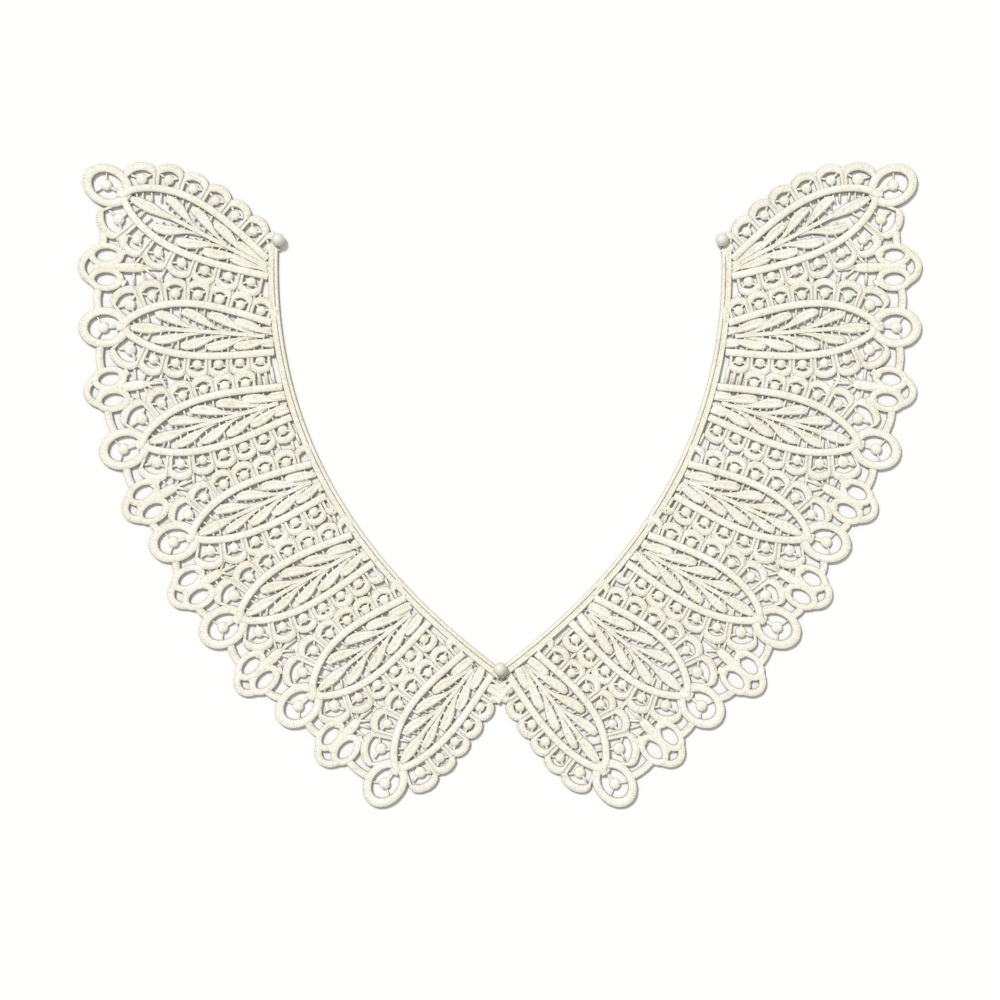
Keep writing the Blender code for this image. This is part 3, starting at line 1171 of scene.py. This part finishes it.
@dataclass(frozen=True)
class LeafCord:
    """A leaf's two cords, which cross at the knot, and the ring that they loop into.

    Past the knot is how far into the ring a cord starts, and bent is the length along
    it that the bend over the knot takes up.
    """

    leaf: Leaf
    width: float = 3.4
    top: float = 2.45
    past_knot: float = 2.3
    bent: float = 3.4
    ring_half_sizes: tuple[float, float] = (8.5, 6.55)
    ring_width: float = 3.9
    ring_top: float = 2.2
    dot_radius: float = 2.3
    dot_top: float = 2.0

    def sew(self, work: Stitchwork) -> None:
        """Sews the ring first, then the front cord and the back cord over it.

        Args:
            work: the stitchwork that takes them in.
        """
        self.sew_ring(work)
        for flank, lift in ((Flank.FRONT, 0.0), (Flank.BACK, 0.3)):
            self.sew_side(work, flank, lift)

    def sew_side(self, work: Stitchwork, flank: Flank, lift: float) -> None:
        """Sews one side's cord, from within the ring over the knot to under the tape.

        Args:
            work: the stitchwork that takes it in.
            flank: the side.
            lift: how much higher it lies than the other.
        """
        points, running, _ = self.leaf.flank_line(flank)
        curve = points[np.searchsorted(running, self.bent) :]
        start = self.leaf.place(-self.past_knot, -flank.value * 1.0)[0]
        near = self.leaf.place(0.0, -flank.value * 0.1)[0]
        entry = bend([start, near, curve[0], curve[6]], 12)[:-13]
        tail = curve[-1] + unit(curve[-1] - curve[-6]) * 0.9
        path = np.vstack([entry, curve, tail])
        path = path[self.leaf.neck.depth(path) > TAPE_COVER]
        heights = spread_out(path, [0.7, 0.95, *[1.0] * 26, 0.8])
        widths = spread_out(path, [0.8, 0.98, *[1.0] * 28])
        cord = Cord(self.width, self.top + lift, 0.15 + 0.2 * lift)
        cord.sew(work, path, widths=widths, heights=heights)

    def sew_ring(self, work: Stitchwork) -> None:
        """Sews the oval ring, and the dot in it on one broad spoke and two thin ones.

        Args:
            work: the stitchwork that takes them in.
        """
        ring, out = self.leaf.ring_axes()
        steps = 72
        swell = 1.0 + 0.1 * np.cos(np.linspace(0.0, 4 * np.pi, steps, endpoint=False))
        path = oval(ring, out, self.ring_half_sizes, steps)[::-1]
        cord = Cord(self.ring_width, self.ring_top, 0.08, dashed=True)
        cord.sew(work, path, closed=True, widths=np.roll(swell[::-1], -1))
        dot = ring + 0.4 * out
        sew_dots(work, dot[None], np.array([self.dot_radius]), 0.1, self.dot_top, segments=20)
        knotward = dot - 5.6 * out
        sew_bars(work, dot[None], knotward[None], 1.5, 0.3, 1.3, flare=0.9)
        for turn in (58.0, -62.0):
            end = dot + 6.4 * turned(out, turn)
            sew_bars(work, dot[None], end[None], 0.65, 0.3, 1.3)


@dataclass(frozen=True)
class FernSpray:
    """The fern inside a leaf: a stem with creased petals, and thin bars that hold it.

    The stem starts at a depth from the knot and stands aside of the leaf's middle,
    towards the back. The end petal starts at its own depth.
    """

    leaf: Leaf
    petal_run: float = 18.5
    petal_width: float = 4.7
    end_petal_width: float = 5.1
    end_petal_start: float = 2.8
    stem_start: float = 15.0
    stem_width: float = 2.0
    stem_aside: float = 0.45
    top: float = 2.1
    bar_pitch: float = 3.4
    bar_width: float = 0.9
    slit_bar_width: float = 0.85

    def sew(self, work: Stitchwork, chance: np.random.Generator) -> None:
        """Sews the stem, the end petal, the pairs of petals from the tip, then the bars.

        Args:
            work: the stitchwork that takes them in.
            chance: the half's random numbers.
        """
        length = self.leaf.length
        stem = np.linspace(self.stem_start, length + 0.8, 12)
        path = self.leaf.place(stem, np.full(len(stem), self.stem_aside))
        path = path[self.leaf.neck.depth(path) > TAPE_COVER]
        Cord(self.stem_width, self.top - 0.1, 0.1, crease=0.2).sew(work, path)
        self.sew_end_petal(work)
        for flank in Flank:
            depths = np.arange(self.leaf.first_petal, length - 1.5, self.leaf.petal_pitch)
            if flank is Flank.FRONT:
                depths = depths + 0.5
            for number, depth in enumerate(depths):
                self.side_petal(work, flank, depth, number, chance)
            self.sew_bars(work, flank, depths, chance)

    def sew_end_petal(self, work: Stitchwork) -> None:
        """Sews the petal at the stem's end, a lens with a long thin tail over the stem.

        Args:
            work: the stitchwork that takes it in.
        """
        reach = self.leaf.first_petal + 6.0
        depths = np.linspace(self.end_petal_start, reach, 20)
        along = depths - self.end_petal_start
        path = self.leaf.place(depths, self.stem_aside * along / reach - 0.1)
        widths = np.interp(
            along / (reach - self.end_petal_start),
            [0.0, 0.05, 0.14, 0.32, 0.5, 0.7, 0.86, 1.0],
            [0.3, 0.5, 0.74, 1.0, 1.0, 0.72, 0.5, 0.38],
        )
        self.petal(work, path, self.end_petal_width, widths, 0.02)

    def petal_line(self, flank: Flank, depth: np.ndarray, distance: np.ndarray) -> np.ndarray:
        """How far aside a petal's middle line is, some way along from its tip.

        It falls from the tip, beside the cord, to the stem as a raised cosine does.

        Args:
            flank: the side of the leaf.
            depth: the depth of the petal's tip.
            distance: the way along from the tip.

        Returns:
            The distances from the leaf's middle.
        """
        tip_aside = self.leaf.half_width(depth + 1.5, flank) - 3.55
        foot = 0.95 + flank.value * self.stem_aside
        fall = 0.5 + 0.5 * np.cos(np.pi * distance / self.petal_run)
        return foot + np.maximum(tip_aside - foot, 0.0) * fall

    def side_petal(self, work: Stitchwork, flank: Flank, depth: float, number: int,
                   chance: np.random.Generator) -> None:
        """Sews one petal from beside the cord down to the stem, cut off at the tape.

        Its width is that of a blunt lens for the first half and of a thin tail after it.

        Args:
            work: the stitchwork that takes it in.
            flank: the side of the leaf.
            depth: the depth of its tip.
            number: its number from the leaf's tip, where odd ones lie a little higher.
            chance: the half's random numbers.
        """
        distance = np.linspace(0.0, self.petal_run, 30)
        aside = self.petal_line(flank, np.full(len(distance), depth), distance)
        widths = np.interp(
            distance,
            [0.0, 0.7, 2.0, 4.0, 6.5, 8.0, 9.5, 11.0, 14.0, 18.5],
            [0.46, 0.7, 0.9, 1.0, 1.0, 0.9, 0.74, 0.56, 0.34, 0.22],
        )
        depths = depth - 0.6 + distance * chance.uniform(0.97, 1.03)
        path = self.leaf.place(depths, flank.value * aside)
        keep = self.leaf.neck.depth(path) > TAPE_COVER
        if keep.sum() < 3:
            return
        small = min(1.0, 0.55 + 0.09 * max(aside[0], 0.0))
        lift = 0.06 * (number % 2) + (0.03 if flank is Flank.BACK else 0.0)
        self.petal(work, path[keep], self.petal_width * small, widths[keep], lift)

    def petal(self, work: Stitchwork, path: np.ndarray, width: float, widths: np.ndarray,
              lift: float) -> None:
        """Sews one creased petal, a little lower at its tip than in its middle.

        Args:
            work: the stitchwork that takes it in.
            path: its middle line, from its tip.
            width: its greatest width.
            widths: a share of the width at each point of the path.
            lift: how much higher than the lowest petal it lies.
        """
        share = np.linspace(0.0, 1.0, len(path))
        heights = np.interp(share, [0.0, 0.08, 0.7, 1.0], [0.6, 1.0, 0.95, 0.65])
        cord = Cord(width, self.top + lift, 0.1 + lift, columns=13, crease=0.3, roundness=0.5)
        cord.sew(work, path, widths=widths, heights=heights)

    def sew_bars(self, work: Stitchwork, flank: Flank, depths: np.ndarray,
                 chance: np.random.Generator) -> None:
        """Sews the bars between petals and cord, and those across the slits between petals.

        Args:
            work: the stitchwork that takes them in.
            flank: the side of the leaf.
            depths: the depths of the petals' tips.
            chance: the half's random numbers.
        """
        total = self.leaf.flank_line(flank)[1][-1]
        along = np.arange(5.0, total - 1.0, self.bar_pitch)
        along = along + chance.uniform(-0.6, 0.6, len(along))
        starts = self.leaf.beside(flank, along, -1.2)
        slants = along + chance.uniform(-0.8, 0.8, len(along))
        room = self.leaf.half_width(0.93 * slants, flank) - 1.0
        ends = self.leaf.beside(flank, slants, -np.minimum(room, 5.2))
        sew_bars(work, starts, ends, self.bar_width, 0.5, 1.6)
        tips, distances = np.meshgrid(depths, [1.2, 4.2, 7.4, 10.6], indexing="ij")
        distances = distances + chance.uniform(-0.5, 0.5, distances.shape)
        aside = self.petal_line(flank, tips, distances)
        near = (tips + distances < self.leaf.length - 2.0) & (aside > 1.6)
        along, aside = (tips + distances)[near], aside[near]
        inner = self.leaf.place(along + 1.0, flank.value * np.maximum(aside - 3.6, 0.3))
        outer = self.leaf.place(along, flank.value * aside)
        sew_bars(work, inner, outer, self.slit_bar_width, 0.4, 1.6)


@dataclass(frozen=True)
class EdgeCluster:
    """What fills the edge between two rings: two eyelets, a loop, a bud, links and webs.

    The slide and the shift outwards move its middle from halfway between the rings.
    The spread is from the middle to an eyelet, and the bud is as long as it says.
    """

    leaf: Leaf
    next_leaf: Leaf
    slide: float
    out_shift: float
    spread: float
    bud: float
    bud_width: float = 4.3
    eyelet_half_sizes: tuple[float, float] = (5.8, 3.7)
    eyelet_width: float = 2.9
    loop_apex: float = 9.9
    loop_width: float = 3.3
    link_width: float = 3.4
    inner_link_width: float = 2.6
    join_width: float = 3.4
    web_width: float = 1.1
    top: float = 2.0

    def axes(self) -> tuple[np.ndarray, np.ndarray, np.ndarray]:
        """Where the cluster is, and how it is turned.

        Returns:
            Its middle, the way outwards and the way towards the front.
        """
        ring, _ = self.leaf.ring_axes()
        next_ring, _ = self.next_leaf.ring_axes()
        front = unit(next_ring - ring)
        out = turned(front, -90.0)
        middle = (ring + next_ring) / 2 + self.slide * front + self.out_shift * out
        return middle, out, front

    def place(self, outwards: float, forwards: float) -> np.ndarray:
        """The point that far outwards and that far forwards from the middle."""
        middle, out, front = self.axes()
        return middle + outwards * out + forwards * front

    def sew(self, work: Stitchwork) -> None:
        """Sews the loop, the links, the bud, the eyelets over them, and the webs.

        Args:
            work: the stitchwork that takes them in.
        """
        self.sew_loop(work)
        self.sew_link(work, -1, self.leaf)
        self.sew_link(work, 1, self.next_leaf)
        self.sew_bud(work)
        self.sew_eyelets(work)
        self.sew_webs(work)

    def sew_loop(self, work: Stitchwork) -> None:
        """Sews the outermost loop, over both eyelets.

        Args:
            work: the stitchwork that takes it in.
        """
        side = self.spread
        route = (
            (4.8, -side - 1.0),
            (6.5, -side - 0.5),
            (8.9, -0.66 * side),
            (self.loop_apex, 0.0),
            (8.9, 0.66 * side),
            (6.5, side + 0.5),
            (4.8, side + 1.0),
        )
        loop = bend([self.place(outwards, forwards) for outwards, forwards in route])
        Cord(self.loop_width, self.top - 0.05, 0.06, dashed=True).sew(work, loop[::-1])

    def sew_link(self, work: Stitchwork, sign: int, leaf: Leaf) -> None:
        """Sews the link from an eyelet to the ring beside it, or two to the first leaf's arches.

        Args:
            work: the stitchwork that takes it in.
            sign: -1 towards the back, and 1 towards the front.
            leaf: the leaf on that side.
        """
        side = self.spread
        if leaf.number == 1:
            upper = np.linspace(self.place(1.4, -side - 3.4), self.place(1.2, -side - 9.2), 6)
            lower = np.linspace(self.place(-6.2, -side - 2.4), self.place(-7.8, -side - 8.0), 6)
            Cord(self.link_width, self.top - 0.1, 0.04).sew(work, upper)
            Cord(self.inner_link_width, self.top - 0.15, 0.04).sew(work, lower)
            return
        _, out, front = self.axes()
        ring, _ = leaf.ring_axes()
        near = self.place(2.7, sign * (side + 2.6))
        far = ring + 2.4 * out - sign * 5.6 * front
        link = bend([near, (near + far) / 2 + 0.7 * out, far])
        Cord(self.link_width, self.top - 0.1, 0.04, dashed=True).sew(work, link[::sign])

    def sew_bud(self, work: Stitchwork) -> None:
        """Sews the bud, which swells inwards from between the eyelets to a blunt end.

        Args:
            work: the stitchwork that takes it in.
        """
        stem = bend([self.place(depth, 0.0) for depth in (5.0, 0.0, -0.55 * self.bud, -self.bud)])
        widths = spread_out(
            stem, [0.6, 0.7, 0.78, 0.82, 0.84, 0.86, 0.92, 1.0, 1.06, 1.08, 1.04, 0.9, 0.45]
        )
        heights = spread_out(stem, [0.8, *[1.0] * 10, 0.9, 0.45])
        cord = Cord(self.bud_width, self.top + 0.1, 0.08)
        cord.sew(work, stem, widths=widths, heights=heights)

    def sew_eyelets(self, work: Stitchwork) -> None:
        """Sews the two oval eyelets.

        Args:
            work: the stitchwork that takes them in.
        """
        _, out, _ = self.axes()
        steps = 48
        swell = 1.0 + 0.08 * np.cos(np.linspace(0.0, 4 * np.pi, steps, endpoint=False))
        for number, sign in enumerate((-1, 1)):
            eyelet = oval(self.place(0.0, sign * self.spread), out, self.eyelet_half_sizes, steps)
            cord = Cord(self.eyelet_width, self.top + 0.08 * number, 0.02 + 0.03 * number)
            cord.sew(work, eyelet, closed=True, widths=swell)

    def sew_webs(self, work: Stitchwork) -> None:
        """Sews the joins from the eyelets inwards, and the threads from the bud outwards.

        Args:
            work: the stitchwork that takes them in.
        """
        end = self.eyelet_half_sizes[0]
        for sign in (-1, 1):
            inner = self.place(-end - 0.6, sign * (self.spread + 0.4))
            arch = self.place(-end - 3.4, sign * (self.spread + 3.4))
            joined = np.linspace(self.place(-4.2, sign * self.spread), (inner + arch) / 2, 6)
            Cord(self.join_width, self.top - 0.12, 0.06).sew(work, joined)
        tip = self.place(-self.bud + 1.0, 0.0)
        starts, ends = [], []
        for sign in (-1, 1):
            starts += [
                self.place(-0.68 * self.bud, sign * 1.4),
                self.place(-0.86 * self.bud, sign * 1.2),
                tip,
                tip,
            ]
            ends += [
                self.place(-0.70 * self.bud, sign * 6.6),
                self.place(-1.02 * self.bud, sign * 5.4),
                self.place(-1.22 * self.bud, sign * 3.6),
                self.place(-1.5 * self.bud, sign * 0.8),
            ]
        sew_bars(work, np.array(starts), np.array(ends), self.web_width, 0.35, 1.4)


CLUSTERS = (
    # leaf, next leaf, slide, out shift, spread, bud
    EdgeCluster(LEAVES[0], LEAVES[1], 4.2, -0.2, 4.8, 16.0),
    EdgeCluster(LEAVES[1], LEAVES[2], 0.3, 1.3, 4.3, 14.8),
    EdgeCluster(LEAVES[2], LEAVES[3], 2.0, 1.6, 4.2, 13.4),
    EdgeCluster(LEAVES[3], LEAVES[4], 0.0, 2.4, 4.2, 13.1),
    EdgeCluster(LEAVES[4], LEAVES[5], 0.9, 2.8, 4.0, 13.5),
    EdgeCluster(LEAVES[5], LEAVES[6], -1.6, 0.6, 4.2, 12.5),
)


@dataclass(frozen=True)
class NeckTape:
    """The tape on the neck edge: a rolled edge and a flat ply with a row of stitches.

    Each ply's offset is from the neck edge out to its middle.
    """

    neck: NeckEdge = NeckEdge()
    edge_width: float = 1.6
    edge_offset: float = 0.8
    edge_top: float = 1.8
    ply_width: float = 2.5
    ply_offset: float = 2.75
    ply_top: float = 2.0
    turn: float = 0.6
    stitch_pitch: float = 2.6
    stitch_width: float = 0.45
    stitches_start: float = 2.0
    stitches_end: float = 196.0

    def sew(self, work: Stitchwork) -> None:
        """Sews both plies along the neck edge, then the slanted stitches in the groove.

        Args:
            work: the stitchwork that takes them in.
        """
        edge = Cord(self.edge_width, self.edge_top, turn=self.turn, ridge=0.02, roundness=0.5)
        edge.sew(work, self.neck.line(self.edge_offset))
        ply = Cord(
            self.ply_width, self.ply_top, 0.02, turn=self.turn, columns=13, crease=0.22, ridge=0.02
        )
        ply.sew(work, self.neck.line(self.ply_offset))
        stations = np.arange(self.stitches_start, self.stitches_end, self.stitch_pitch)
        starts = self.neck.at(stations, 1.75)
        ends = self.neck.at(stations + 0.9, 2.05)
        sew_bars(work, starts, ends, self.stitch_width, 1.2, 1.95)


@dataclass(frozen=True)
class FrontBars:
    """The short satin bars that cross on the front seam, under the front pearl."""

    level: tuple[tuple[float, float], ...] = ((-4.4, -79.9), (-1.0, -80.2), (2.6, -79.6))
    level_width: float = 2.0
    falling: tuple[tuple[float, float], ...] = ((-4.6, -81.4), (0.0, -84.0), (3.4, -85.6))
    falling_width: float = 2.4
    rising: tuple[tuple[float, float], ...] = ((-1.2, -86.6), (1.4, -83.2), (4.4, -79.4))
    rising_width: float = 2.6
    top: float = 2.3

    def sew(self, work: Stitchwork) -> None:
        """Sews two slanted bars over a level one.

        Args:
            work: the stitchwork that takes them in.
        """
        Cord(self.level_width, self.top - 0.3, 0.3).sew(work, bend(self.level))
        Cord(self.falling_width, self.top - 0.15, 0.25).sew(work, bend(self.falling))
        Cord(self.rising_width, self.top, 0.2).sew(work, bend(self.rising))


@dataclass(frozen=True)
class Pearl:
    """A round bead, made as a grid of latitude and longitude."""

    radius: float = 2.68
    rings: int = 24
    segments: int = 36

    def make(self, name: str, node: str, half: Half, finish: Nacre) -> bpy.types.Object:
        """Makes the bead in the middle of its CAD node's box.

        A point is the middle plus the radius times the sine and cosine of its
        latitude, with its longitude turned round the upright axis.

        Args:
            name: the object's name.
            node: the CAD node that it replaces.
            half: the half of the collar that it belongs to.
            finish: what it is dressed in.

        Returns:
            The bead.
        """
        low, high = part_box(node)
        middle = (np.array(low) + np.array(high)) / 2 / MM
        latitude = np.linspace(-0.49 * np.pi, 0.49 * np.pi, self.rings)
        around = np.linspace(0.0, 2 * np.pi, self.segments, endpoint=False)
        flat = np.cos(latitude)[:, None, None] * np.stack([np.cos(around), np.sin(around)], axis=-1)
        up = np.broadcast_to(np.sin(latitude)[:, None, None], (self.rings, self.segments, 1))
        sphere = np.concatenate([flat, up], axis=-1).reshape(-1, 3) * self.radius
        middle[0] *= -half.value
        heights = sphere[:, 2:] / self.radius * (0.0, 1.0)
        groups = tube_faces(1, self.rings, self.segments)
        work = Stitchwork()
        work.add(sphere + middle, [(faces, heights[faces]) for faces in groups])
        piece = work.make(name, half, finish, "pearl")
        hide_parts(node)
        return piece


# ---------------------------------------------------------------- the studio


@dataclass(frozen=True)
class Studio:
    """A pale table, soft light from above and a camera that looks straight down.

    Sizes are in metres and angles in degrees.
    """

    field_width: float = 0.400
    camera_height: float = 1.20
    aim_y: float = -0.0057
    sensor: float = 36.0
    table_reach: float = 3.0
    table_drop: float = 0.0001
    table_colour: tuple[float, float, float, float] = (0.93, 0.93, 0.93, 1.0)
    air_colour: tuple[float, float, float, float] = (1.0, 0.97, 0.88, 1.0)
    air_strength: float = 0.50
    sun_energy: float = 2.3
    sun_colour: tuple[float, float, float] = (1.0, 1.01, 1.05)
    sun_size: float = 9.0
    sun_turn: tuple[float, float] = (-28.0, -22.0)

    def build(self) -> None:
        """Sets the table, the lights and the camera."""
        self.table()
        self.lights()
        self.camera()

    def table(self) -> None:
        """A wide pale plane just under the lace."""
        reach, drop = self.table_reach, self.table_drop
        corners = [(-reach, -reach), (reach, -reach), (reach, reach), (-reach, reach)]
        mesh = bpy.data.meshes.new("table")
        mesh.from_pydata([(x, y, -drop) for x, y in corners], [], [(0, 1, 2, 3)])
        settings = {"Base Color": self.table_colour, "Roughness": 0.9, "Specular IOR Level": 0.1}
        mesh.materials.append(new_material("table", settings))
        table = bpy.data.objects.new("table", mesh)
        bpy.context.scene.collection.objects.link(table)

    def lights(self) -> None:
        """White air all round, and one soft sun from the upper left."""
        world = bpy.data.worlds.new("air")
        world.use_nodes = True
        background = world.node_tree.nodes["Background"]
        background.inputs["Color"].default_value = self.air_colour
        background.inputs["Strength"].default_value = self.air_strength
        bpy.context.scene.world = world
        sun_data = bpy.data.lights.new("sun", "SUN")
        sun_data.energy = self.sun_energy
        sun_data.color = self.sun_colour
        sun_data.angle = np.radians(self.sun_size)
        sun = bpy.data.objects.new("sun", sun_data)
        sun.rotation_euler = (*np.radians(self.sun_turn), 0.0)
        bpy.context.scene.collection.objects.link(sun)

    def camera(self) -> None:
        """A camera straight above, with a lens that takes in the field's width."""
        camera_data = bpy.data.cameras.new("camera")
        camera_data.sensor_width = self.sensor
        camera_data.lens = self.sensor * self.camera_height / self.field_width
        camera = bpy.data.objects.new("camera", camera_data)
        camera.location = (0.0, self.aim_y, self.camera_height)
        bpy.context.scene.collection.objects.link(camera)
        bpy.context.scene.camera = camera
        bpy.context.scene.view_settings.view_transform = "Standard"


# ---------------------------------------------------------------- the collar


@dataclass(frozen=True)
class Collar:
    """The whole collar: it sews each piece of both halves and hides the CAD part that it stands in for.
    """

    lace: Finish = Finish("lace_thread")
    satin: Finish = Finish(
        "satin_thread", light=(0.98, 0.955, 0.875), warm=(0.94, 0.91, 0.77), bump=0.32
    )
    tape: Finish = Finish(
        "tape_thread", light=(0.96, 0.93, 0.81), warm=(0.92, 0.885, 0.74), bump=0.32
    )
    nacre: Nacre = Nacre()

    def build(self) -> list[bpy.types.Object]:
        """Makes both halves, then what joins them.

        Returns:
            Every piece.
        """
        pieces = [piece for half in Half for piece in self.build_half(half)]
        bars = Stitchwork()
        FrontBars().sew(bars)
        knot = bars.make("bars_front", Half.LEFT, self.satin, "satin_cord")
        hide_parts("front_bars")
        bead = Pearl().make("bead_front", "pearl_front", Half.LEFT, self.nacre)
        return [*pieces, knot, bead]

    def build_half(self, half: Half) -> list[bpy.types.Object]:
        """Makes one half's edging, leaves, ferns, tape and pearl.

        Args:
            half: the half.

        Returns:
            Its pieces.
        """
        chance = np.random.default_rng(7 + half.value)
        edging = Stitchwork()
        for leaf in LEAVES:
            for flank in Flank:
                ArchRow(leaf, flank).sew(edging, chance)
        for cluster in CLUSTERS:
            cluster.sew(edging)
        lace = edging.make(f"edging_{half.word}", half, self.lace, "lace")
        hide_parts(f"lace_{half.word}")
        with_pieces = []
        for leaf in LEAVES:
            with_pieces += self.build_leaf(half, leaf, chance)
        binding = Stitchwork()
        NeckTape().sew(binding)
        tape = binding.make(f"binding_{half.word}", half, self.tape, "neck_tape")
        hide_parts(f"neck_tape_{half.word}")
        bead = Pearl().make(f"bead_{half.word}", f"pearl_{half.word}", half, self.nacre)
        return [lace, *with_pieces, tape, bead]

    def build_leaf(self, half: Half, leaf: Leaf,
                   chance: np.random.Generator) -> list[bpy.types.Object]:
        """Makes one leaf's cords with their ring, and the fern inside it.

        Args:
            half: the half that it belongs to.
            leaf: the leaf.
            chance: the half's random numbers.

        Returns:
            Both pieces.
        """
        cords = Stitchwork()
        LeafCord(leaf).sew(cords)
        name = f"leaf_{half.word}_{leaf.number}"
        piece = cords.make(name, half, self.satin, "satin_cord")
        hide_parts(f"leaf_cord_{half.word}_{leaf.number}")
        fern = Stitchwork()
        FernSpray(leaf).sew(fern, chance)
        spray = fern.make(f"fern_{half.word}_{leaf.number}", half, self.lace, "lace")
        return [piece, spray]


def main() -> None:
    """Builds the studio and the collar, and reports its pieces."""
    logging.basicConfig(level=logging.INFO)
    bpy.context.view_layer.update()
    Studio().build()
    for piece in Collar().build():
        LOG.info("%s: %d faces", piece.name, len(piece.data.polygons))


if __name__ == "__main__":
    main()
